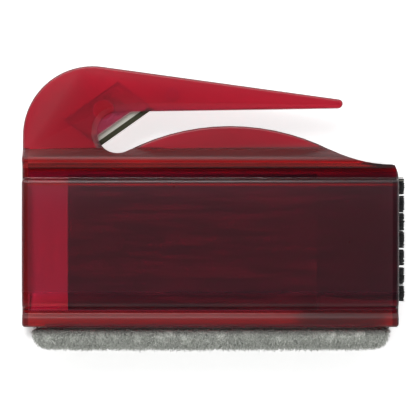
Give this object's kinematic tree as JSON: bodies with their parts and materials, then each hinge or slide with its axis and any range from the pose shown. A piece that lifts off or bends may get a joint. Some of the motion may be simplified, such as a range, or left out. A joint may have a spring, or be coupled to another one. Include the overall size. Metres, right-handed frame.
{
  "type": "letter opener with slide-out brush",
  "caption": "Pocket letter opener in translucent red plastic with a hooked beak over a steel blade, a bristle brush that slides out of its case, and a grey pile wiping pad.",
  "frame": {"origin": "centre of the whole object's footprint, on the plane of the rear face that it lies on", "axes": "+X from the head end to the brush's mouth, +Y from the wiping pad to the beak, +Z out of the front face"},
  "size_m": [0.0932, 0.0692, 0.012],
  "materials": {
    "red_plastic": "translucent deep red injection-moulded polystyrene, satin polish",
    "black_plastic": "black moulded plastic with a fine satin texture",
    "blade_steel": "ground carbon steel, fine scratches across the bevel",
    "staple_wire": "flat drawn wire",
    "bristles": "black nylon filaments, cut square at the tips",
    "foam": "grey open-cell foam",
    "pile": "grey-green short pile, brushed"
  },
  "bodies": {
    "case": {"front_shell": "red_plastic", "rear_shell": "red_plastic", "blade": "blade_steel", "pad_backing": "black_plastic", "pad_foam": "foam", "pile_cover": "pile"},
    "brush": {"brush_carrier": "black_plastic", "thumb_button": "black_plastic", "tuft_front_1": "bristles", "tuft_front_2": "bristles", "tuft_front_3": "bristles", "tuft_front_4": "bristles", "tuft_front_5": "bristles", "tuft_front_6": "bristles", "tuft_front_7": "bristles", "tuft_rear_1": "bristles", "tuft_rear_2": "bristles", "tuft_rear_3": "bristles", "tuft_rear_4": "bristles", "tuft_rear_5": "bristles", "tuft_rear_6": "bristles", "tuft_rear_7": "bristles", "staple_front_1": "staple_wire", "staple_front_2": "staple_wire", "staple_front_3": "staple_wire", "staple_front_4": "staple_wire", "staple_front_5": "staple_wire", "staple_front_6": "staple_wire", "staple_front_7": "staple_wire", "staple_rear_1": "staple_wire", "staple_rear_2": "staple_wire", "staple_rear_3": "staple_wire", "staple_rear_4": "staple_wire", "staple_rear_5": "staple_wire", "staple_rear_6": "staple_wire", "staple_rear_7": "staple_wire"}
  },
  "joints": [
    {"name": "brush_slide", "type": "slide", "parent": "case", "child": "brush", "axis": [1, 0, 0], "range_m": [-0.009, 0.02]}
  ]
}
